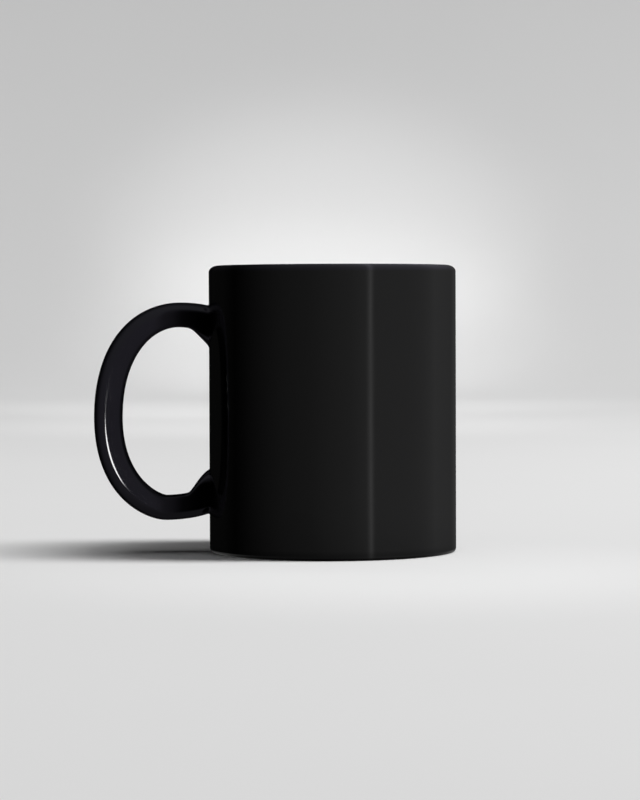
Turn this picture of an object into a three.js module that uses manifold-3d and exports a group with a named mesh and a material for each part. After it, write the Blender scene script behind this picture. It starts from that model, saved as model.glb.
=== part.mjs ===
// Ceramic mug: a straight-sided clay cup and a clay loop handle, stuck together with two slip joints and
// coated in glaze. Millimetres, +Z up. The foot stands on z = 0 and the handle points along -X. The frame's
// origin is the middle of the whole footprint, handle included.
import * as THREE from "three";
import { mergeVertices } from "three/addons/utils/BufferGeometryUtils.js";
import Module from "manifold-3d";

const wasm = await Module();
wasm.setup();

// Finished size of the cup, glaze included.
const HEIGHT = 95;
const OUTER_RADIUS = 41;
const WALL = 4.5;
const LIP_RADIUS = 2; // both corners of the lip
const LIP_DEPTH = 5; // how far the outside coat runs down inside the rim
const FLOOR_HEIGHT = 8; // drinking floor above the table
const FLOOR_FILLET = 12; // inside corner between wall and floor
const FOOT_EDGE = 1.8; // rounding under the outside wall
const FOOT_WIDTH = 4; // flat bare ring that stands on the table
const RECESS_DEPTH = 2; // underside inside the foot ring, above the table
const RECESS_SLOPE = 1.2; // how far the foot ring's inner side leans

// The glaze coat, and the gap that keeps two neighbouring pieces apart.
const GLAZE = 0.4;
const GAP = 0.1;
const COAT = GLAZE + GAP;

// The handle's centreline, as x from the cup's axis and z: from the wall over its top, its far side and its
// bottom, back to the wall.
const WALL_TOP_Z = 77.9;
const LOOP_TOP = new THREE.Vector2(-52, 78.7);
const LOOP_SIDE = new THREE.Vector2(-74.8, 44.5);
const LOOP_BOTTOM = new THREE.Vector2(-56.5, 14.8);
const WALL_BOTTOM_Z = 15.4;
const TOP_PULL = 12; // Bezier handle lengths: how full each bend is
const SIDE_PULL_UP = 21.5;
const SIDE_PULL_DOWN = 24.5;
const BOTTOM_PULL = 3;

// The handle's section: depth across the loop, width along Y, and the flares that meet the wall.
const DEPTH_MIDDLE = 9.3;
const DEPTH_ENDS = 8.1;
const WIDTH_MIDDLE = 12.5;
const WIDTH_ENDS = 14;
const OUTSIDE_SQUARENESS = 2.4; // superellipse exponents of the two halves of the section
const FINGER_SQUARENESS = 3.2;
const FLARE_LENGTH = 8.5;
const FLARE_UNDER_TOP = 6; // how far the flares grow towards the fingers
const FLARE_OVER_BOTTOM = 8.5;
const FLARE_OUTSIDE = 0.8;
const FLARE_WIDE = 3;
const LUTE_LENGTH = 4; // how far the slip joints reach out from the wall

const SEGMENTS = 60; // round the cup
const SECTION_SIDES = 20;
const LUTE_STEPS = 5; // sections along each slip joint
const HANDLE_STEPS = 36;
const BURIED = 6; // how far the loft runs on into the cup before it is cut off

const loopReach = -LOOP_SIDE.x + DEPTH_MIDDLE / 2;
const cupAxisX = (loopReach - OUTER_RADIUS) / 2;
const innerRadius = OUTER_RADIUS - WALL;

const glazeMaterial = new THREE.MeshStandardMaterial({ color: 0x17171a, roughness: 0.12, metalness: 0 });
const clayMaterial = new THREE.MeshStandardMaterial({ color: 0xd8d0c2, roughness: 0.85, metalness: 0 });

// Points on a circular arc in the (radius, height) plane; angles in degrees from the outward direction.
function arc(centreR, centreZ, radius, from, to, steps) {
  const points = [];
  for (let i = 0; i <= steps; i++) {
    const angle = THREE.MathUtils.degToRad(from + ((to - from) * i) / steps);
    points.push(new THREE.Vector2(centreR + radius * Math.cos(angle), centreZ + radius * Math.sin(angle)));
  }
  return points;
}

function point(r, z) {
  return new THREE.Vector2(r, z);
}

// A body of revolution about Z, from its (radius, height) outline.
function turned(outline) {
  return new THREE.LatheGeometry(outline, SEGMENTS).rotateX(Math.PI / 2);
}

function toSolid(geometry) {
  const bare = geometry.clone();
  bare.deleteAttribute("normal");
  bare.deleteAttribute("uv");
  const merged = mergeVertices(bare, 1e-4);
  return new wasm.Manifold(
    new wasm.Mesh({
      numProp: 3,
      vertProperties: merged.getAttribute("position").array,
      triVerts: new Uint32Array(merged.index.array),
    }),
  );
}

function toGeometry(solid) {
  const mesh = solid.getMesh();
  const geometry = new THREE.BufferGeometry();
  geometry.setAttribute("position", new THREE.BufferAttribute(mesh.vertProperties, mesh.numProp));
  geometry.setIndex(new THREE.BufferAttribute(mesh.triVerts, 1));
  geometry.computeVertexNormals();
  return geometry;
}

// ---- The cup: each outline runs anticlockwise round the material, outside first ----

// The two rounded corners of the lip, drawn `inset` under the finished surface.
function lipOver(inset) {
  const lipZ = HEIGHT - LIP_RADIUS;
  return [
    ...arc(OUTER_RADIUS - LIP_RADIUS, lipZ, LIP_RADIUS - inset, 0, 90, 5),
    ...arc(innerRadius + LIP_RADIUS, lipZ, LIP_RADIUS - inset, 90, 180, 5),
  ];
}

// The inside wall, corner and floor, from `topZ` down to the axis, drawn `inset` under the surface.
function insideDown(topZ, inset) {
  const outline = topZ === null ? [] : [point(innerRadius + inset, topZ)];
  const cornerR = innerRadius - FLOOR_FILLET;
  const cornerZ = FLOOR_HEIGHT + FLOOR_FILLET;
  outline.push(...arc(cornerR, cornerZ, FLOOR_FILLET + inset, 0, -90, 7));
  outline.push(point(0, FLOOR_HEIGHT - inset));
  return outline;
}

// The rounding under the outside wall, drawn `inset` under the surface, down to `lowest` degrees.
function footEdge(inset, lowest, steps) {
  return arc(OUTER_RADIUS - FOOT_EDGE, FOOT_EDGE - COAT, FOOT_EDGE - inset, lowest, 0, steps);
}

function cupBody() {
  const footOuter = OUTER_RADIUS - FOOT_EDGE;
  const footInner = footOuter - FOOT_WIDTH;
  return turned([
    point(0, RECESS_DEPTH + COAT),
    point(footInner - RECESS_SLOPE, RECESS_DEPTH + COAT),
    point(footInner, 0),
    ...footEdge(COAT, -90, 4),
    ...lipOver(COAT),
    ...insideDown(null, COAT),
  ]);
}

function outerGlaze() {
  const foot = -38; // degrees round the foot's edge at which the coat stops short of the table
  return turned([
    ...footEdge(0, foot, 2),
    ...lipOver(0),
    point(innerRadius, HEIGHT - LIP_DEPTH),
    point(innerRadius + GLAZE, HEIGHT - LIP_DEPTH),
    ...lipOver(GLAZE).reverse(),
    ...footEdge(GLAZE, foot, 2).reverse(),
    footEdge(0, foot, 2)[0],
  ]);
}

function linerGlaze() {
  const topZ = HEIGHT - LIP_DEPTH - GAP;
  return turned([
    ...insideDown(topZ, GLAZE).reverse(),
    ...insideDown(topZ, 0),
  ]);
}

function baseGlaze() {
  const radius = OUTER_RADIUS - FOOT_EDGE - FOOT_WIDTH - RECESS_SLOPE - COAT;
  return turned([
    point(0, RECESS_DEPTH),
    point(radius, RECESS_DEPTH),
    point(radius, RECESS_DEPTH + GLAZE),
    point(0, RECESS_DEPTH + GLAZE),
  ]);
}

function wallPrism(radius) {
  const prism = new THREE.CylinderGeometry(radius, radius, 2 * HEIGHT, SEGMENTS);
  return toSolid(prism.rotateX(Math.PI / 2));
}

// ---- The handle: one loft along the centreline, cut into its pieces ----

function bezier(a, b, c, d) {
  return new THREE.CubicBezierCurve(a, b, c, d);
}

// A run from the wall to a level stretch of the loop: it leaves the wall at a slope and levels off.
function wallRun(wallZ, level) {
  const wall = point(-OUTER_RADIUS, wallZ);
  const third = (level.x - wall.x) / 3;
  const slopeEnd = point(wall.x + third, wallZ + ((level.y - wallZ) * 2) / 3);
  return [wall, slopeEnd, point(level.x - third, level.y), level];
}

const buriedX = BURIED - OUTER_RADIUS;
const centreline = new THREE.CurvePath();
centreline.add(new THREE.LineCurve(point(buriedX, WALL_TOP_Z), point(-OUTER_RADIUS, WALL_TOP_Z)));
centreline.add(bezier(...wallRun(WALL_TOP_Z, LOOP_TOP)));
centreline.add(
  bezier(
    LOOP_TOP,
    point(LOOP_TOP.x - TOP_PULL, LOOP_TOP.y),
    point(LOOP_SIDE.x, LOOP_SIDE.y + SIDE_PULL_UP),
    LOOP_SIDE,
  ),
);
centreline.add(
  bezier(
    LOOP_SIDE,
    point(LOOP_SIDE.x, LOOP_SIDE.y - SIDE_PULL_DOWN),
    point(LOOP_BOTTOM.x - BOTTOM_PULL, LOOP_BOTTOM.y),
    LOOP_BOTTOM,
  ),
);
centreline.add(bezier(...wallRun(WALL_BOTTOM_Z, LOOP_BOTTOM).reverse()));
centreline.add(new THREE.LineCurve(point(-OUTER_RADIUS, WALL_BOTTOM_Z), point(buriedX, WALL_BOTTOM_Z)));
const loopLength = centreline.getLength();

// The section at one place on the centreline, as half sizes: away from the fingers, towards them, and along Y.
function sectionAt(centre, inset) {
  const upper = centre.y > LOOP_SIDE.y;
  const endZ = upper ? LOOP_TOP.y : LOOP_BOTTOM.y;
  const towardsEnd = Math.min(1, (centre.y - LOOP_SIDE.y) / (endZ - LOOP_SIDE.y)) ** 2;
  const fromWall = Math.max(0, -centre.x - OUTER_RADIUS);
  const flare = Math.max(0, 1 - fromWall / FLARE_LENGTH) ** 1.6;
  const halfDepth = THREE.MathUtils.lerp(DEPTH_MIDDLE, DEPTH_ENDS, towardsEnd) / 2;
  const halfWidth = THREE.MathUtils.lerp(WIDTH_MIDDLE, WIDTH_ENDS, towardsEnd) / 2;
  return {
    outside: halfDepth + FLARE_OUTSIDE * flare ** 2 - inset,
    inside: halfDepth + (upper ? FLARE_UNDER_TOP : FLARE_OVER_BOTTOM) * flare - inset,
    wide: halfWidth + FLARE_WIDE * flare ** 2 - inset,
  };
}

// Every piece of the handle is lofted over these same places along the centreline, so that the pieces nest.
function spread(from, to, steps) {
  return Array.from({ length: steps + 1 }, (_, i) => from + ((to - from) * i) / steps);
}

const luteEnd = BURIED + LUTE_LENGTH;
const luteStations = spread(0, luteEnd, LUTE_STEPS);
const handleStations = spread(luteEnd + GAP, loopLength - luteEnd - GAP, HANDLE_STEPS);
const farLuteStations = luteStations.map((s) => loopLength - s).reverse();
const loopStations = [...luteStations, ...handleStations, ...farLuteStations];

// The closed body through the sections at `stations`, with its skin `inset` under the finished surface.
function loft(stations, inset) {
  const positions = [];
  for (const station of stations) {
    const u = station / loopLength;
    const centre = centreline.getPointAt(u);
    const tangent = centreline.getTangentAt(u);
    const size = sectionAt(centre, inset);
    for (let k = 0; k < SECTION_SIDES; k++) {
      const angle = (2 * Math.PI * k) / SECTION_SIDES;
      const out = Math.cos(angle);
      const along = Math.sin(angle);
      const power = 2 / (out > 0 ? OUTSIDE_SQUARENESS : FINGER_SQUARENESS);
      const n = Math.sign(out) * Math.abs(out) ** power * (out > 0 ? size.outside : size.inside);
      const y = Math.sign(along) * Math.abs(along) ** power * size.wide;
      positions.push(centre.x + n * tangent.y, y, centre.y - n * tangent.x);
    }
  }
  const last = (stations.length - 1) * SECTION_SIDES;
  const indices = [];
  for (let k = 0; k < SECTION_SIDES; k++) {
    const next = (k + 1) % SECTION_SIDES;
    for (let i = 0; i < stations.length - 1; i++) {
      const here = i * SECTION_SIDES;
      const there = here + SECTION_SIDES;
      indices.push(here + k, here + next, there + k, here + next, there + next, there + k);
    }
    if (k > 1) indices.push(0, k, k - 1, last, last + k - 1, last + k);
  }
  const geometry = new THREE.BufferGeometry();
  geometry.setAttribute("position", new THREE.Float32BufferAttribute(positions, 3));
  geometry.setIndex(indices);
  return toSolid(geometry);
}

const cupCut = wallPrism(OUTER_RADIUS - COAT + GAP);
const handle = loft(handleStations, COAT);
const upperLute = loft(luteStations, COAT).subtract(cupCut);
const lowerLute = loft(farLuteStations, COAT).subtract(cupCut);
const handleGlaze = loft(loopStations, 0).subtract(loft(loopStations, GLAZE)).subtract(cupCut);
const glazedWall = toSolid(outerGlaze()).subtract(loft(loopStations, -GAP));

// ---- The assembly ----

const mug = new THREE.Group();
mug.position.x = cupAxisX;

function addPiece(name, geometry, material) {
  const mesh = new THREE.Mesh(geometry, material);
  mesh.name = name;
  mug.add(mesh);
}

addPiece("cup_body", cupBody(), clayMaterial);
addPiece("handle", toGeometry(handle), clayMaterial);
addPiece("upper_lute", toGeometry(upperLute), clayMaterial);
addPiece("lower_lute", toGeometry(lowerLute), clayMaterial);
addPiece("outer_glaze", toGeometry(glazedWall), glazeMaterial);
addPiece("liner_glaze", linerGlaze(), glazeMaterial);
addPiece("base_glaze", baseGlaze(), glazeMaterial);
addPiece("handle_glaze", toGeometry(handleGlaze), glazeMaterial);

export default mug;
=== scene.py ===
import math

import bmesh
import bpy
import numpy as np
from mathutils import Matrix, Vector


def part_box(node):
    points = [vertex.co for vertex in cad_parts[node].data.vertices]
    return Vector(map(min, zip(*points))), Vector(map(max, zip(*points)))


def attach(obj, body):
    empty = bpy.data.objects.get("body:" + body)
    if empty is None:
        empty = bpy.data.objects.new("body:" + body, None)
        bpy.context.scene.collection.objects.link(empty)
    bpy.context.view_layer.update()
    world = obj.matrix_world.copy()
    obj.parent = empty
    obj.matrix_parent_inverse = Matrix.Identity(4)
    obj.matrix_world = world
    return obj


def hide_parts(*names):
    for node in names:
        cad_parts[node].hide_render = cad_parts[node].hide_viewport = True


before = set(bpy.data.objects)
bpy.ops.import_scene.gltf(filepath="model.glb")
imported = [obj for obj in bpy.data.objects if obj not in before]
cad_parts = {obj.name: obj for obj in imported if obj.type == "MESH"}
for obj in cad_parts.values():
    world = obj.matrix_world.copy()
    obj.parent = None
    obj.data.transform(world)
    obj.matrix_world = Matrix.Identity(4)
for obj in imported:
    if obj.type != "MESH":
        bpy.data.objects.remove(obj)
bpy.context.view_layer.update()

MM = 0.001

# ---- Sizes read from the frame ----

cup_low, cup_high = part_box("outer_glaze")
liner_low, liner_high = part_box("liner_glaze")
base_low, base_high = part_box("base_glaze")
clay_low, clay_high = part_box("cup_body")
loop_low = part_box("handle_glaze")[0]

AXIS_X = (cup_low.x + cup_high.x) / 2
HEIGHT = cup_high.z
RADIUS = (cup_high.x - cup_low.x) / 2
GLAZE = base_high.z - base_low.z
COAT = RADIUS - (clay_high.x - clay_low.x) / 2  # the glaze and the hair gap under it
GAP = COAT - GLAZE
BORE = (liner_high.x - liner_low.x) / 2 - GLAZE
DRINK_FLOOR = liner_low.z + GLAZE
RECESS = base_low.z
BASE_RADIUS = (base_high.x - base_low.x) / 2
LINER_TOP = liner_high.z

# ---- The cup's profile ----

SEGMENTS = 224  # round the cup
LIP_OUT, LIP_DOWN = 3 * MM, 2.2 * MM  # the lip's rounding outside: across the wall and down it
LIP_IN = 1.5 * MM
LIP_DEPTH = HEIGHT - LINER_TOP - GAP  # how far the outside coat runs down inside the rim
FLOOR_FILLET = 12 * MM
FOOT_EDGE = 1.8 * MM
FOOT_WIDTH = 4 * MM
RECESS_SLOPE = 1.2 * MM
WOBBLE = 0.012 * MM  # how far the fired wall wanders from a true circle

# ---- The handle ----

DEPTH_MIDDLE = 9.2 * MM
DEPTH_ENDS = 8.1 * MM
WIDTH = 12.5 * MM
OUTSIDE_SQUARENESS = 2.1
FINGER_SQUARENESS = 11
JOINT_SQUARENESS = 3  # the finger side's, at the wall
SQUARE_LENGTH = 8 * MM  # from the wall to where the finger side has its full squareness
END_BEND = 6  # how late along the loop the depth changes to the ends'
TOP_RUN = 9.5 * MM  # from the wall to the highest place of the loop
BOTTOM_RUN = 14.7 * MM
SIDE_Z = 44.5 * MM
TOP_DROP = 1.15 * MM  # how far the centreline sinks from the loop's top to the wall
BOTTOM_RISE = 2.4 * MM
TOP_PULL = 13.7 * MM  # Bezier handle lengths: how full each bend is
SIDE_PULL_UP = 21.8 * MM
SIDE_PULL_DOWN = 24.3 * MM
BOTTOM_PULL = 3.7 * MM
LUTE_LENGTH = 4 * MM
SECTION_SIDES = 80
STEPS_ALONG = 110
BLEND_LENGTH = 8.5 * MM  # over which the sections turn to fit the round wall
SKIRT = 0.25 * MM  # how far the handle's glaze runs into the wall's
SEAT = 0.02 * MM

# The flares where the handle meets the wall. Each fillet is its reach at the wall and its length from it.
UPPER_FLARE = 5.3 * MM  # a straight flare at 45 degrees, with a rounded start
UPPER_ROUNDING = 1.3 * MM
LOWER_FLARE, LOWER_LENGTH = 6.15 * MM, 7.2 * MM
UPPER_FILLET = 0.5 * MM, 0.8 * MM
LOWER_FILLET = 0.3 * MM, 0.6 * MM
OUTSIDE_FILLET = 0.5 * MM, 0.9 * MM


def arc(centre_r, centre_z, radius, start, end, steps):
    """Points on an arc in the (radius, height) plane; angles in degrees from the outward direction."""
    angles = np.radians(np.linspace(start, end, steps + 1))
    return [(centre_r + radius * math.cos(a), centre_z + radius * math.sin(a)) for a in angles]


def new_piece(name, points, faces, material, sharp=35):
    mesh = bpy.data.meshes.new(name)
    mesh.from_pydata([tuple(p) for p in points], [], faces)
    mesh.validate()
    mesh.shade_smooth()
    mesh.set_sharp_from_angle(angle=math.radians(sharp))
    mesh.materials.append(material)
    piece = bpy.data.objects.new(name, mesh)
    bpy.context.scene.collection.objects.link(piece)
    return piece


def wander(angle, z):
    """The slow unevenness of a slip-cast wall: radius change at one place on the cup."""
    rise = 2 * math.pi * z / HEIGHT
    return WOBBLE * (math.sin(2 * angle + 0.7) + 0.6 * math.sin(3 * angle - 1.9 + 0.8 * rise))


def turned(name, outline, material):
    """A closed body of revolution about the cup's axis. The outline runs anticlockwise."""
    on_axis = outline[0][0] == 0
    ring = [p for p in outline if p[0] > 0]
    points, faces = [], []
    for k in range(SEGMENTS):
        angle = 2 * math.pi * k / SEGMENTS
        for r, z in ring:
            reach = r + wander(angle, z) * min(1, r / BORE)
            points.append((AXIS_X + reach * math.cos(angle), reach * math.sin(angle), z))
    count = len(ring)
    spans = count - 1 if on_axis else count
    for k in range(SEGMENTS):
        here, there = k * count, ((k + 1) % SEGMENTS) * count
        for i in range(spans):
            j = (i + 1) % count
            faces.append((here + i, there + i, there + j, here + j))
    if on_axis:
        first, last = len(points), len(points) + 1
        points += [(AXIS_X, 0, outline[0][1]), (AXIS_X, 0, outline[-1][1])]
        for k in range(SEGMENTS):
            here, there = k * count, ((k + 1) % SEGMENTS) * count
            faces.append((first, there, here))
            faces.append((here + count - 1, there + count - 1, last))
    return new_piece(name, points, faces, material)


# ---- The cup's outlines ----

def lip_over(inset):
    turn = np.radians(np.linspace(0, 90, 17))
    out = RADIUS - LIP_OUT + (LIP_OUT - inset) * np.cos(turn)
    up = HEIGHT - LIP_DOWN + (LIP_DOWN - inset) * np.sin(turn)
    outer = list(zip(out, up))
    return outer + arc(BORE + LIP_IN, HEIGHT - LIP_IN, LIP_IN - inset, 90, 180, 12)


def inside_down(inset):
    corner = arc(BORE - FLOOR_FILLET, DRINK_FLOOR + FLOOR_FILLET, FLOOR_FILLET + inset, 0, -90, 24)
    flat = [(r, DRINK_FLOOR - inset) for r in np.linspace(BORE - FLOOR_FILLET, 0, 12)[1:]]
    return corner + flat


def climb(r, bottom, top, steps):
    return [(r, z) for z in np.linspace(bottom, top, steps + 1)[1:-1]]


def foot_edge(inset, lowest, steps):
    return arc(RADIUS - FOOT_EDGE, FOOT_EDGE - COAT, FOOT_EDGE - inset, lowest, 0, steps)


def clay_cup(material):
    foot_outer = RADIUS - FOOT_EDGE
    foot_inner = foot_outer - FOOT_WIDTH
    roof = RECESS + COAT
    outline = [(0, roof), (foot_inner - RECESS_SLOPE - 0.6 * MM, roof)]
    outline += [(foot_inner - RECESS_SLOPE, roof - 0.15 * MM), (foot_inner - 0.35 * MM, 0.35 * MM)]
    outline += [(foot_inner + 0.3 * MM, 0), (foot_outer - 1 * MM, 0)]
    outline += foot_edge(COAT, -90, 10)
    outline += climb(RADIUS - COAT, FOOT_EDGE, HEIGHT - LIP_DOWN, 24)
    outline += lip_over(COAT)
    outline += climb(BORE + COAT, HEIGHT - LIP_IN, DRINK_FLOOR + FLOOR_FILLET, 20)
    outline += inside_down(COAT)
    return turned("clay_cup", outline, material)


def glaze_outside(material):
    """Wraps the foot's rounding with a thinning edge, climbs the wall and folds over the lip."""
    centre_r, centre_z = RADIUS - FOOT_EDGE, FOOT_EDGE - COAT
    clay = FOOT_EDGE - COAT
    skin, under = [], []
    for a in np.linspace(-66, 0, 15):
        full = min(1, (a + 70) / 40)
        thick = GLAZE * (0.22 + 0.78 * full * full * (3 - 2 * full))
        turn = math.radians(a)
        for line, reach in ((skin, clay + GAP * full + thick), (under, clay + GAP * full)):
            line.append((centre_r + reach * math.cos(turn), centre_z + reach * math.sin(turn)))
    outline = skin + climb(RADIUS, centre_z, HEIGHT - LIP_DOWN, 48) + lip_over(0)
    inner_end = HEIGHT - LIP_DEPTH
    outline += climb(BORE, HEIGHT - LIP_IN, inner_end, 4) + [(BORE, inner_end), (BORE + GLAZE, inner_end)]
    outline += lip_over(GLAZE)[::-1]
    outline += climb(RADIUS - GLAZE, HEIGHT - LIP_DOWN, centre_z, 24) + under[::-1]
    return turned("glaze_outside", outline, material)


def glaze_liner(material):
    top = LINER_TOP
    wall_foot = DRINK_FLOOR + FLOOR_FILLET
    outline = inside_down(GLAZE)[::-1] + climb(BORE + GLAZE, wall_foot, top, 20)
    outline += [(BORE + GLAZE, top), (BORE, top)] + climb(BORE, top, wall_foot, 40) + inside_down(0)
    return turned("glaze_liner", outline, material)


def glaze_base(material):
    """The thin glassy disc under the cup, with a rolled rim where it was wiped away from the foot ring."""
    rim = arc(BASE_RADIUS - GLAZE / 2, RECESS + GLAZE / 2, GLAZE / 2, -90, 90, 8)
    below = [(r, RECESS) for r in np.linspace(0, BASE_RADIUS - GLAZE / 2, 16)[:-1]]
    above = [(r, RECESS + GLAZE) for r in np.linspace(BASE_RADIUS - GLAZE / 2, 0, 8)[1:]]
    return turned("glaze_base", below + rim + above, material)


# ---- The handle: lofts along one centreline ----

def bezier(a, b, c, d, steps=200):
    t = np.linspace(0, 1, steps + 1)[:, None]
    a, b, c, d = (np.array(p, float) for p in (a, b, c, d))
    return (1 - t) ** 3 * a + 3 * (1 - t) ** 2 * t * b + 3 * (1 - t) * t * t * c + t ** 3 * d


def wall_run(wall_z, level):
    wall = (-RADIUS, wall_z)
    third = (level[0] + RADIUS) / 3
    slope_end = (wall[0] + third, wall_z + (level[1] - wall_z) * 2 / 3)
    return wall, slope_end, (level[0] - third, level[1]), level


SIDE_X = loop_low.x - AXIS_X + DEPTH_MIDDLE / 2
LOOP_TOP = (-RADIUS - TOP_RUN, 78.8 * MM)
LOOP_BOTTOM = (-RADIUS - BOTTOM_RUN, 14.5 * MM)
LOOP_SIDE = (SIDE_X, SIDE_Z)

route = np.concatenate([
    bezier(*wall_run(LOOP_TOP[1] - TOP_DROP, LOOP_TOP)),
    bezier(LOOP_TOP, (LOOP_TOP[0] - TOP_PULL, LOOP_TOP[1]), (SIDE_X, SIDE_Z + SIDE_PULL_UP), LOOP_SIDE)[1:],
    bezier(LOOP_SIDE, (SIDE_X, SIDE_Z - SIDE_PULL_DOWN), (LOOP_BOTTOM[0] - BOTTOM_PULL, LOOP_BOTTOM[1]),
           LOOP_BOTTOM)[1:],
    bezier(*wall_run(LOOP_BOTTOM[1] + BOTTOM_RISE, LOOP_BOTTOM)[::-1])[1:],
])
steps_along = np.linalg.norm(np.diff(route, axis=0), axis=1)
route_s = np.concatenate([[0], np.cumsum(steps_along)])
ROUTE_LENGTH = route_s[-1]


def on_route(s):
    """Centre and unit tangent at a distance along the centreline, as (x from the cup's axis, z)."""
    def at(d):
        return np.array([np.interp(d, route_s, route[:, 0]), np.interp(d, route_s, route[:, 1])])
    step = 0.15 * MM
    centre = at(s)
    ahead, behind = at(min(s + step, ROUTE_LENGTH)), at(max(s - step, 0))
    tangent = (ahead - behind) / np.linalg.norm(ahead - behind)
    return centre, tangent


def ease(t):
    t = min(max(t, 0), 1)
    return t * t * (3 - 2 * t)


def soft(value, rounding):
    """The positive part of a value, with a rounded start."""
    return (value + math.sqrt(value * value + rounding * rounding)) / 2


def fillet(distance, reach, length):
    """An elliptic fillet: nothing at `length` from the wall, `reach` at the wall, tangent to it there."""
    t = 1 - min(max(distance / length, 0), 1)
    return reach * (1 - math.sqrt(1 - t * t))


def section(centre, inset):
    """Half sizes of the section: away from the fingers, towards them, and along Y."""
    upper = centre[1] > SIDE_Z
    end_z = LOOP_TOP[1] if upper else LOOP_BOTTOM[1]
    towards_end = min(1, (centre[1] - SIDE_Z) / (end_z - SIDE_Z)) ** END_BEND
    depth = (DEPTH_MIDDLE + (DEPTH_ENDS - DEPTH_MIDDLE) * towards_end) / 2
    d = max(0, -centre[0] - RADIUS)
    if upper:
        finger = soft(UPPER_FLARE - d, UPPER_ROUNDING) + fillet(d, *UPPER_FILLET)
    else:
        finger = LOWER_FLARE * ease(1 - d / LOWER_LENGTH) + fillet(d, *LOWER_FILLET)
    outside = fillet(d, *OUTSIDE_FILLET)
    return depth + outside - inset, depth + finger - inset, WIDTH / 2 - inset


def ring(s, inset, sink=0):
    """One section of the loft, turned near the wall to lie along it. `sink` moves it into the wall."""
    centre, tangent = on_route(s)
    d = max(0, -centre[0] - RADIUS)
    fit = ease(1 - d / BLEND_LENGTH)
    inward = 1 if s > ROUTE_LENGTH / 2 else -1
    lean = tangent * (1 - fit) + np.array([inward, 0]) * fit
    lean /= np.linalg.norm(lean)
    outside, inside, wide = section(centre, inset)
    finger_square = FINGER_SQUARENESS + (JOINT_SQUARENESS - FINGER_SQUARENESS) * ease(1 - d / SQUARE_LENGTH)
    points = []
    for k in range(SECTION_SIDES):
        angle = 2 * math.pi * k / SECTION_SIDES
        out, along = math.cos(angle), math.sin(angle)
        square = OUTSIDE_SQUARENESS if out > 0 else finger_square
        reach = (abs(out) ** square + abs(along) ** square) ** (-1 / square)
        n = reach * out * (outside if out > 0 else inside)
        y = reach * along * wide
        x = centre[0] + n * lean[1] + (RADIUS - math.sqrt(RADIUS ** 2 - y ** 2)) * fit + sink
        points.append((AXIS_X + x, y, centre[1] - n * lean[0]))
    return points


def stations(start, end):
    """Distances along the centreline, crowded towards the wall where the flares turn fastest."""
    near = [BLEND_LENGTH * (i / 22) ** 2 for i in range(23)]
    middle = list(np.linspace(BLEND_LENGTH, ROUTE_LENGTH - BLEND_LENGTH, STEPS_ALONG + 1))[1:-1]
    far = [ROUTE_LENGTH - s for s in near[::-1]]
    inner = [s for s in near + middle + far if start + 1e-6 < s < end - 1e-6]
    return [start] + inner + [end]


def skin_faces(rings, base=0, flip=False):
    faces = []
    for i in range(rings - 1):
        for k in range(SECTION_SIDES):
            n = (k + 1) % SECTION_SIDES
            a, b = base + i * SECTION_SIDES, base + (i + 1) * SECTION_SIDES
            face = (a + k, a + n, b + n, b + k)
            faces.append(face[::-1] if flip else face)
    return faces


def clay_loft(name, start, end, material):
    """A solid clay length of the handle, between two places on the centreline."""
    places = stations(start, end)
    points = []
    for s in places:
        at_wall = s in (0, ROUTE_LENGTH)
        points += ring(s, COAT, GLAZE if at_wall else 0)
    faces = skin_faces(len(places))
    last = (len(places) - 1) * SECTION_SIDES
    faces.append(tuple(range(SECTION_SIDES))[::-1])
    faces.append(tuple(last + k for k in range(SECTION_SIDES)))
    return new_piece(name, points, faces, material)


def glaze_handle(material):
    """The glass coat of the whole handle, open inside, with its two skirts let into the wall's own coat."""
    places = stations(0, ROUTE_LENGTH)
    points = []
    for inset in (0, GLAZE):
        points += ring(0, inset, SKIRT)
        for s in places:
            points += ring(s, inset, SEAT if s in (0, ROUTE_LENGTH) else 0)
        points += ring(ROUTE_LENGTH, inset, SKIRT)
    rings = len(places) + 2
    inner = rings * SECTION_SIDES
    faces = skin_faces(rings) + skin_faces(rings, inner, flip=True)
    last = (rings - 1) * SECTION_SIDES
    for k in range(SECTION_SIDES):
        n = (k + 1) % SECTION_SIDES
        faces.append((n, k, inner + k, inner + n))
        faces.append((last + k, last + n, inner + last + n, inner + last + k))
    return new_piece("glaze_handle", points, faces, material)


# ---- Materials ----

def shader(name):
    material = bpy.data.materials.new(name)
    material.use_nodes = True
    nodes, links = material.node_tree.nodes, material.node_tree.links
    principled = nodes["Principled BSDF"]
    where = nodes.new("ShaderNodeTexCoord").outputs["Object"]
    return material, nodes, links, principled, where


def noise(nodes, links, where, size, detail=3, rough=0.5):
    """Noise with features about `size` across, in metres."""
    node = nodes.new("ShaderNodeTexNoise")
    node.inputs["Scale"].default_value = 1 / size
    node.inputs["Detail"].default_value = detail
    node.inputs["Roughness"].default_value = rough
    links.new(where, node.inputs["Vector"])
    return node.outputs["Fac"]


def spread(nodes, links, value, low, high, from_low=0.3, from_high=0.7):
    node = nodes.new("ShaderNodeMapRange")
    node.inputs["From Min"].default_value = from_low
    node.inputs["From Max"].default_value = from_high
    node.inputs["To Min"].default_value = low
    node.inputs["To Max"].default_value = high
    links.new(value, node.inputs["Value"])
    return node.outputs["Result"]


def bump(nodes, links, height, depth, under=None):
    node = nodes.new("ShaderNodeBump")
    node.inputs["Distance"].default_value = depth
    node.inputs["Strength"].default_value = 1
    links.new(height, node.inputs["Height"])
    if under is not None:
        links.new(under, node.inputs["Normal"])
    return node.outputs["Normal"]


def mix(nodes, links, factor, low, high):
    """From the low colour to the high one. The low one may be another node's output."""
    node = nodes.new("ShaderNodeMix")
    node.data_type = "RGBA"
    links.new(factor, node.inputs["Factor"])
    if isinstance(low, tuple):
        node.inputs["A"].default_value = (*low, 1)
    else:
        links.new(low, node.inputs["A"])
    node.inputs["B"].default_value = (*high, 1)
    return node.outputs["Result"]


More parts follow.
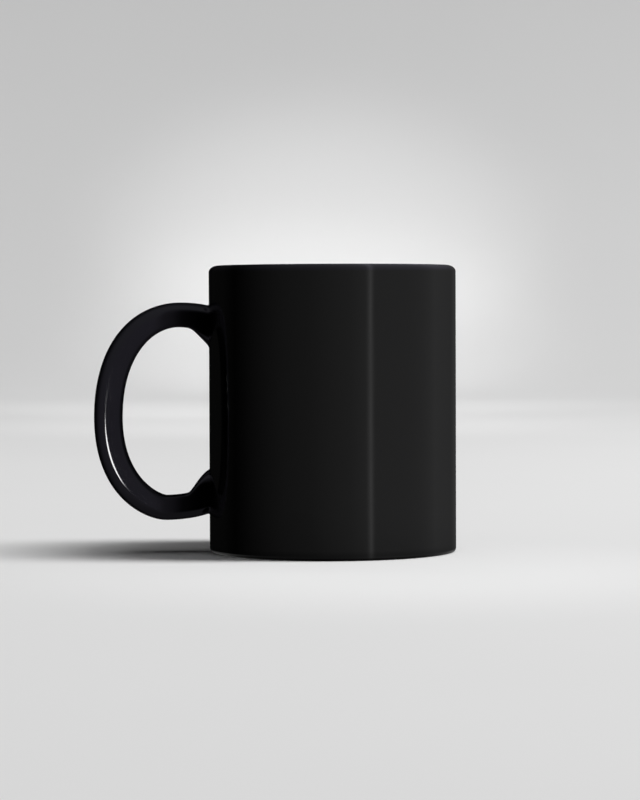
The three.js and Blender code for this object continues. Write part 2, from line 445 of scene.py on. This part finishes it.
def glaze(name, dark, light):
    """Glossy black glaze: slow thickness clouds in its colour, faint smears, and orange peel."""
    material, nodes, links, principled, where = shader(name)
    clouds = noise(nodes, links, where, 9 * MM, 4)
    links.new(mix(nodes, links, clouds, dark, light), principled.inputs["Base Color"])
    smears = noise(nodes, links, where, 14 * MM, 3)
    links.new(spread(nodes, links, smears, 0.05, 0.1), principled.inputs["Roughness"])
    slow = bump(nodes, links, noise(nodes, links, where, 12 * MM, 1), 0.02 * MM)
    peel = bump(nodes, links, noise(nodes, links, where, 1.3 * MM, 1), 0.0015 * MM, slow)
    links.new(peel, principled.inputs["Normal"])
    principled.inputs["IOR"].default_value = 1.5
    return material


def clay(name):
    """Bare stoneware: sanded, pale and dry, with dark iron specks."""
    material, nodes, links, principled, where = shader(name)
    tone = mix(nodes, links, noise(nodes, links, where, 3 * MM, 5), (0.46, 0.40, 0.32), (0.62, 0.56, 0.47))
    specks = spread(nodes, links, noise(nodes, links, where, 0.9 * MM, 1), 0, 1, 0.66, 0.72)
    links.new(mix(nodes, links, specks, tone, (0.1, 0.07, 0.05)), principled.inputs["Base Color"])
    grain = noise(nodes, links, where, 0.25 * MM, 4, 0.7)
    links.new(spread(nodes, links, grain, 0.75, 0.95), principled.inputs["Roughness"])
    links.new(bump(nodes, links, grain, 0.05 * MM), principled.inputs["Normal"])
    return material


wall_glaze = glaze("wall_glaze", (0.002, 0.002, 0.0022), (0.0035, 0.0035, 0.004))
handle_coat = glaze("handle_glaze", (0.002, 0.002, 0.003), (0.0035, 0.0035, 0.005))
liner_coat = glaze("liner_glaze", (0.011, 0.0105, 0.01), (0.017, 0.0165, 0.0155))
bare_clay = clay("bare_clay")

# ---- The pieces ----

glaze_slot, liner_slot, clay_slot = "outer_glaze", "liner_glaze", "clay"
LOWER_LUTE = ROUTE_LENGTH - LUTE_LENGTH
pieces = (
    (clay_cup(bare_clay), "cup_body", clay_slot),
    (clay_loft("clay_upper_lute", 0, LUTE_LENGTH, bare_clay), "upper_lute", clay_slot),
    (clay_loft("clay_handle", LUTE_LENGTH + GAP, LOWER_LUTE - GAP, bare_clay), "handle", clay_slot),
    (clay_loft("clay_lower_lute", LOWER_LUTE, ROUTE_LENGTH, bare_clay), "lower_lute", clay_slot),
    (glaze_outside(wall_glaze), "outer_glaze", glaze_slot),
    (glaze_liner(liner_coat), "liner_glaze", liner_slot),
    (glaze_base(wall_glaze), "base_glaze", glaze_slot),
    (glaze_handle(handle_coat), "handle_glaze", glaze_slot),
)
for piece, node, finish in pieces:
    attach(piece, "root")
    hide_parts(node)

# ---- Camera ----

CAMERA_DISTANCE = 0.95
CAMERA_HEIGHT = 81.1 * MM
CAMERA_SIDESTEP = 3.4 * MM
CAMERA_PITCH, CAMERA_YAW, CAMERA_ROLL = 0.03245, -0.00797, -0.0035
LENS = 128.52

forward = Vector((
    math.sin(CAMERA_YAW) * math.cos(CAMERA_PITCH),
    math.cos(CAMERA_YAW) * math.cos(CAMERA_PITCH),
    -math.sin(CAMERA_PITCH),
))
level_right = Vector((math.cos(CAMERA_YAW), -math.sin(CAMERA_YAW), 0))
level_up = level_right.cross(forward)
right = math.cos(CAMERA_ROLL) * level_right + math.sin(CAMERA_ROLL) * level_up
up = math.cos(CAMERA_ROLL) * level_up - math.sin(CAMERA_ROLL) * level_right

camera_data = bpy.data.cameras.new("camera")
camera_data.lens = LENS
camera_data.clip_end = 20
camera = bpy.data.objects.new("camera", camera_data)
stand = Matrix.Translation((AXIS_X + CAMERA_SIDESTEP, -CAMERA_DISTANCE, CAMERA_HEIGHT))
camera.matrix_world = stand @ Matrix((right, up, -forward)).transposed().to_4x4()
bpy.context.scene.collection.objects.link(camera)
bpy.context.scene.camera = camera
bpy.context.scene.view_settings.view_transform = "Standard"

# ---- Studio ----

STAGE_RADIUS = 2.6
STAGE_CORNER = 1.0
STAGE_HEIGHT = 2.4
STAGE_SIDES = 128


def stage():
    """A pale seamless floor that sweeps up into a round backdrop."""
    outline = [(r, 0) for r in np.linspace(0, STAGE_RADIUS - STAGE_CORNER, 9)]
    outline += arc(STAGE_RADIUS - STAGE_CORNER, STAGE_CORNER, STAGE_CORNER, -90, 0, 32)[1:]
    outline += [(STAGE_RADIUS, STAGE_HEIGHT)]
    points = [(AXIS_X, 0, 0)]
    faces = []
    for r, z in outline[1:]:
        for k in range(STAGE_SIDES):
            angle = 2 * math.pi * k / STAGE_SIDES
            points.append((AXIS_X + r * math.cos(angle), r * math.sin(angle), z))
    for k in range(STAGE_SIDES):
        n = (k + 1) % STAGE_SIDES
        faces.append((0, 1 + k, 1 + n))
        for i in range(len(outline) - 2):
            a, b = 1 + i * STAGE_SIDES, 1 + (i + 1) * STAGE_SIDES
            faces.append((a + n, a + k, b + k, b + n))
    material, nodes, links, principled, where = shader("studio_paper")
    tone = mix(nodes, links, noise(nodes, links, where, 0.2, 2), (0.79, 0.79, 0.79), (0.81, 0.81, 0.81))
    links.new(tone, principled.inputs["Base Color"])
    principled.inputs["Roughness"].default_value = 1
    principled.inputs["Specular IOR Level"].default_value = 0
    floor = new_piece("studio_floor", points, faces, material, 180)
    floor.visible_glossy = False
    floor.visible_diffuse = False
    floor.visible_transmission = False
    floor.visible_shadow = False


stage()


def hang(name, data, place, target):
    lamp = bpy.data.objects.new(name, data)
    lamp.location = place
    lamp.rotation_mode = "QUATERNION"
    lamp.rotation_quaternion = (Vector(target) - Vector(place)).to_track_quat("-Z", "Y")
    lamp.visible_camera = False
    lamp.visible_glossy = False
    bpy.context.scene.collection.objects.link(lamp)
    return lamp


def panel(name, place, target, width, height, power):
    """A soft rectangular lamp facing a target."""
    data = bpy.data.lights.new(name, "AREA")
    data.shape = "RECTANGLE"
    data.size, data.size_y = width, height
    data.energy = power
    return hang(name, data, place, target)


def spot(name, place, target, reach, edge, power):
    """A round lamp that lights a disc of radius `reach` round its target, with a soft edge."""
    distance = (Vector(target) - Vector(place)).length
    data = bpy.data.lights.new(name, "SPOT")
    data.spot_size = 2 * math.atan(reach / distance)
    data.spot_blend = edge
    data.shadow_soft_size = 0.05
    data.energy = power
    return hang(name, data, place, target)


# The key is one tall soft light on the right, in five steps of lowest and highest elevation and power.
# It is narrow, so the shadow keeps its edges, and tall, so the shadow fades along its length.
KEY_DISTANCE = 4
KEY_WIDTH = 0.8
KEY_TURN = 0.055  # radians from the right towards the camera
KEY_STEPS = ((42, 52, 45), (52, 60, 43), (60, 68, 41), (68, 76, 17), (76, 84, 4))
key_blockers = bpy.data.collections.new("key_blockers")  # the handle's own thin shadow is left out
for piece, node, finish in pieces:
    if node in ("cup_body", "outer_glaze", "liner_glaze", "base_glaze"):
        key_blockers.objects.link(piece)
for lowest, highest, power in KEY_STEPS:
    tilt = math.radians((lowest + highest) / 2)
    height = 2 * KEY_DISTANCE * math.tan(math.radians((highest - lowest) / 2))
    across, above = KEY_DISTANCE * math.cos(tilt), KEY_DISTANCE * math.sin(tilt)
    place = (AXIS_X + across * math.cos(KEY_TURN), -across * math.sin(KEY_TURN), above)
    key = panel("key", place, (AXIS_X, 0, 0), KEY_WIDTH, height, power)
    key.light_linking.blocker_collection = key_blockers

GLOW_FROM = (AXIS_X, 0.9, 0.7)
POOL_X, POOL_Y = AXIS_X + 0.025, -0.09
panel("fill", (AXIS_X, 0, 2.2), (AXIS_X, 0.3, 0), 2, 2, 4.5)
panel("backdrop_wash", (AXIS_X, 1.5, 0.9), (AXIS_X, 2, 0), 3, 0.3, 2)
panel("floor_wash", (AXIS_X, 0.5, 1.2), (AXIS_X, 0.9, 0), 1.2, 0.3, 1.5)
spot("backdrop_glow", GLOW_FROM, (AXIS_X - 0.02, 2.1, 0.15), 0.28, 1, 18)
spot("backdrop_glow_low", GLOW_FROM, (AXIS_X - 0.02, 1.9, 0.05), 0.28, 1, 15)
spot("bend_glow", GLOW_FROM, (AXIS_X - 0.07, 1.45, 0), 0.38, 1, 5.5)
spot("floor_glow", GLOW_FROM, (AXIS_X - 0.05, 1.03, 0), 0.28, 1, 2.2)
spot("floor_pool", (POOL_X, POOL_Y, 1.2), (POOL_X, POOL_Y, 0), 0.1, 0.3, 5)

# ---- What the glaze mirrors ----

# Brightness of the surround against direction, in degrees to the right of the camera's side.
CUP_SURROUND = (
    (-180, 0.02), (-163, 0.006), (-140, 0.016), (-120, 0.024), (-101, 0.01), (-90, 0.027), (-70, 0.077),
    (-45, 0.145), (-20, 0.187), (0, 0.243), (16, 0.285), (27, 0.345), (31.2, 0.37), (34, 0.68),
    (35.3, 0.95), (36.6, 0.68), (38.6, 0.37), (60, 0.36), (90, 0.33), (109, 0.375), (123, 0.28),
    (142, 0.16), (155, 0.15), (167, 0.11), (180, 0.02),
)
HANDLE_SURROUND = (
    (-180, 0.05), (-116, 0.055), (-106, 0.095), (-89, 0.165), (-78, 0.205), (-68, 0.235), (-57, 0.25),
    (-35, 0.268), (0, 0.27), (61, 0.265), (86, 0.22), (119, 0.22), (137, 0.4), (153, 0.45), (172, 0.18),
    (180, 0.1),
)
# The same against height, as the sine of the elevation: a factor, or one each for red, green and blue.
CUP_HEIGHTS = (
    (-1, 0.05), (-0.6, 0.25), (-0.14, 0.55), (-0.112, 0.84), (-0.092, 1), (0.12, 1),
    (0.35, (1.15, 1.12, 1.35)), (1, (1.15, 1.12, 1.35)),
)
HANDLE_HEIGHTS = (
    (-1, (0.45, 0.43, 0.52)), (-0.5, (0.85, 0.81, 1)), (-0.2, (0.97, 0.92, 1.2)), (0, (1, 0.95, 1.25)),
    (0.5, (1.05, 1.03, 1.25)), (1, (0.95, 0.94, 1.1)),
)
# The same from the camera's side, -1, to behind the mug, 1.
CUP_DEPTHS = ((-1, 1), (0, 1), (0.5, 0.75), (1, 0.5))
HANDLE_DEPTHS = ((-1, 1), (-0.3, 1), (0.1, 0.85), (0.37, 0.6), (0.6, 0.2), (0.8, 0.07), (1, 0.02))
# What only the cup mirrors, low down: the pale floor and soft lamps round it, against direction and height.
LOW_SURROUND = (
    (-180, 0.3), (-150, 0.13), (-115, 0.3), (-70, 0.1), (0, 0.06), (50, 0.2), (90, 0.1), (130, 0.14),
    (160, 0.34), (180, 0.3),
)
LOW_SHARE = ((-1, 0), (-0.6, 0.25), (-0.42, 1), (-0.24, 0.8), (-0.14, 0))

# A small curved lamp beside the camera, seen only in the handle's glaze: a tapered arc round a centre.
STREAK_CENTRE = (-0.115, -0.045)  # direction to the right and up, as sines
STREAK_RADIUS = 0.19
STREAK_HALF_WIDTH = 0.12
STREAK_MIDDLE, STREAK_HALF_TURN = math.radians(22), math.radians(27)  # turned from the left downwards
STREAK_SHARPNESS = 3
STREAK_BRIGHTNESS = 26


def ramp(nodes, links, value, stops, lowest, highest):
    """A colour ramp from (position, grey or colour) stops. The input is 0 at `lowest`, 1 at `highest`."""
    node = nodes.new("ShaderNodeValToRGB")
    elements = node.color_ramp.elements
    while len(elements) < len(stops):
        elements.new(0.5)
    for element, (position, tone) in zip(elements, stops):
        element.position = (position - lowest) / (highest - lowest)
        element.color = (*tone, 1) if isinstance(tone, tuple) else (tone, tone, tone, 1)
    links.new(value, node.inputs["Fac"])
    return node.outputs["Color"]


def only_mirrored_by(light, receivers):
    """Leaves a glowing object visible in the receivers' reflections and nowhere else."""
    for seen in ("camera", "diffuse", "transmission", "volume_scatter", "shadow"):
        setattr(light, "visible_" + seen, False)
    group = bpy.data.collections.new(light.name + "_receivers")
    for piece in receivers:
        group.objects.link(piece)
    light.light_linking.receiver_collection = group


def surround(name, radius, receivers, directions, heights, depths, streak):
    """A glowing shell that only the receivers mirror. Everything else passes through it. Directions are
    twice the angle round the wall at which a camera in front sees them mirrored."""
    material, nodes, links, principled, where = shader(name)

    def calculate(operation, *inputs):
        node = nodes.new("ShaderNodeMath")
        node.operation = operation
        for socket, value in zip(node.inputs, inputs):
            if isinstance(value, (int, float)):
                socket.default_value = value
            else:
                links.new(value, socket)
        return node.outputs[0]

    unit = nodes.new("ShaderNodeVectorMath")
    unit.operation = "NORMALIZE"
    links.new(where, unit.inputs[0])
    split = nodes.new("ShaderNodeSeparateXYZ")
    links.new(unit.outputs[0], split.inputs[0])
    across, depth, height = split.outputs["X"], split.outputs["Y"], split.outputs["Z"]
    half_angle = calculate("ARCTAN2", across, calculate("SUBTRACT", 1, depth))
    around = calculate("ADD", calculate("DIVIDE", half_angle, math.pi), 0.5)
    rise = calculate("MULTIPLY_ADD", height, 0.5, 0.5)
    behind = calculate("MULTIPLY_ADD", depth, 0.5, 0.5)

    def combine(operation, one, other):
        node = nodes.new("ShaderNodeVectorMath")
        node.operation = operation
        links.new(one, node.inputs[0])
        links.new(other, node.inputs[1])
        return node.outputs[0]

    brightness = ramp(nodes, links, around, directions, -180, 180)
    tinted = combine("MULTIPLY", brightness, ramp(nodes, links, rise, heights, -1, 1))
    colour = combine("MULTIPLY", tinted, ramp(nodes, links, behind, depths, -1, 1))
    if streak:
        left = calculate("SUBTRACT", STREAK_CENTRE[0], across)
        down = calculate("SUBTRACT", STREAK_CENTRE[1], height)
        squares = calculate("ADD", calculate("MULTIPLY", left, left), calculate("MULTIPLY", down, down))
        off_arc = calculate("SUBTRACT", calculate("SQRT", squares), STREAK_RADIUS)
        aside = calculate("ABSOLUTE", calculate("DIVIDE", off_arc, STREAK_HALF_WIDTH))
        turn = calculate("SUBTRACT", calculate("ARCTAN2", down, left), STREAK_MIDDLE)
        along = calculate("DIVIDE", turn, STREAK_HALF_TURN)
        taper = calculate("SUBTRACT", 1, calculate("MULTIPLY", along, along))
        inside = calculate("MULTIPLY", calculate("SUBTRACT", taper, aside), STREAK_SHARPNESS)
        in_front = calculate("LESS_THAN", depth, 0)
        lit = calculate("MINIMUM", calculate("MAXIMUM", inside, 0), in_front)
        colour = combine("ADD", colour, calculate("MULTIPLY", lit, STREAK_BRIGHTNESS))
    else:
        low_glow = ramp(nodes, links, around, LOW_SURROUND, -180, 180)
        low_share = ramp(nodes, links, rise, LOW_SHARE, -1, 1)
        colour = combine("ADD", colour, combine("MULTIPLY", low_glow, low_share))
    glow = nodes.new("ShaderNodeEmission")
    links.new(colour, glow.inputs["Color"])
    both = nodes.new("ShaderNodeAddShader")
    links.new(glow.outputs[0], both.inputs[0])
    links.new(nodes.new("ShaderNodeBsdfTransparent").outputs[0], both.inputs[1])
    links.new(both.outputs[0], nodes["Material Output"].inputs["Surface"])
    material.cycles.emission_sampling = "NONE"
    mesh = bpy.data.meshes.new(name)
    sphere = bmesh.new()
    bmesh.ops.create_uvsphere(sphere, u_segments=96, v_segments=48, radius=radius)
    sphere.to_mesh(mesh)
    sphere.free()
    mesh.materials.append(material)
    shell = bpy.data.objects.new(name, mesh)
    shell.location = (AXIS_X, 0, HEIGHT / 2)
    bpy.context.scene.collection.objects.link(shell)
    only_mirrored_by(shell, receivers)


*cup_pieces, handle_piece = [piece for piece, node, finish in pieces]
surround("cup_surround", 1.9, cup_pieces, CUP_SURROUND, CUP_HEIGHTS, CUP_DEPTHS, False)
surround("handle_surround", 2.1, [handle_piece], HANDLE_SURROUND, HANDLE_HEIGHTS, HANDLE_DEPTHS, True)

# The cards below are painted shade: sheets seen only in the handle's glaze, dark near the wall, that darken
# the handle's reflection towards its joints.
CARD_Y = -12 * MM
CARD_REACH = 19 * MM  # from the wall outwards
PAINTED_SHADE_TONES = (  # distance from the wall in mm, and brightness there
    (0, 0), (3, 0.003), (5.7, 0.012), (9, 0.035), (10.5, 0.07), (12.3, 0.12), (15.5, 0.17), (19, 0.25),
)
CARD_SOLID = ((0, 1), (15.5, 1), (19, 0))  # the same, and how solid the card is there
PAINTED_SHADE_TINT = (1, 0.95, 1.2)
CARD_HEIGHTS = (  # lowest, solid from, solid up to, and highest
    (-2 * MM, 8 * MM, 26 * MM, 36 * MM),
    (58 * MM, 66 * MM, 84 * MM, 104 * MM),
)


def painted_joint_shade_card(low, solid_from, solid_to, high):
    """A dark card close in front of one of the handle's joints, seen only in the handle's glaze: painted
    shade that darkens the handle's reflection towards the wall. It clears towards its edges. Only its side
    towards the handle counts, so that the wall in front of it keeps its reflections."""
    near = AXIS_X - RADIUS
    far = near - CARD_REACH
    wall = AXIS_X - math.sqrt(RADIUS ** 2 - CARD_Y ** 2) - GAP
    material, nodes, links, principled, where = shader("painted_joint_shade_card")
    split = nodes.new("ShaderNodeSeparateXYZ")
    links.new(where, split.inputs[0])
    distance = spread(nodes, links, split.outputs["X"], 0, 1, near, far)
    tones = [(place, tuple(tone * tint for tint in PAINTED_SHADE_TINT)) for place, tone in PAINTED_SHADE_TONES]
    shade = ramp(nodes, links, distance, tones, 0, CARD_REACH / MM)
    solid = ramp(nodes, links, distance, CARD_SOLID, 0, CARD_REACH / MM)
    glow = nodes.new("ShaderNodeEmission")
    links.new(shade, glow.inputs["Color"])
    height = spread(nodes, links, split.outputs["Z"], 0, 1, low, high)
    edges = ramp(nodes, links, height, ((low, 0), (solid_from, 1), (solid_to, 1), (high, 0)), low, high)
    for factor in (edges, nodes.new("ShaderNodeNewGeometry").outputs["Backfacing"]):
        product = nodes.new("ShaderNodeMath")
        product.operation = "MULTIPLY"
        links.new(solid, product.inputs[0])
        links.new(factor, product.inputs[1])
        solid = product.outputs[0]
    both = nodes.new("ShaderNodeMixShader")
    links.new(solid, both.inputs["Fac"])
    links.new(nodes.new("ShaderNodeBsdfTransparent").outputs[0], both.inputs[1])
    links.new(glow.outputs[0], both.inputs[2])
    links.new(both.outputs[0], nodes["Material Output"].inputs["Surface"])
    material.cycles.emission_sampling = "NONE"
    points = [(far, CARD_Y, low), (wall, CARD_Y, low), (wall, CARD_Y, high), (far, CARD_Y, high)]
    card = new_piece("painted_joint_shade_card", points, [(0, 1, 2, 3)], material)
    only_mirrored_by(card, [handle_piece])


# Painted shade on the handle's two joints, one card each.
for heights in CARD_HEIGHTS:
    painted_joint_shade_card(*heights)

world = bpy.data.worlds.new("studio")
world.use_nodes = True
world.node_tree.nodes["Background"].inputs["Color"].default_value = (0, 0, 0, 1)
bpy.context.scene.world = world
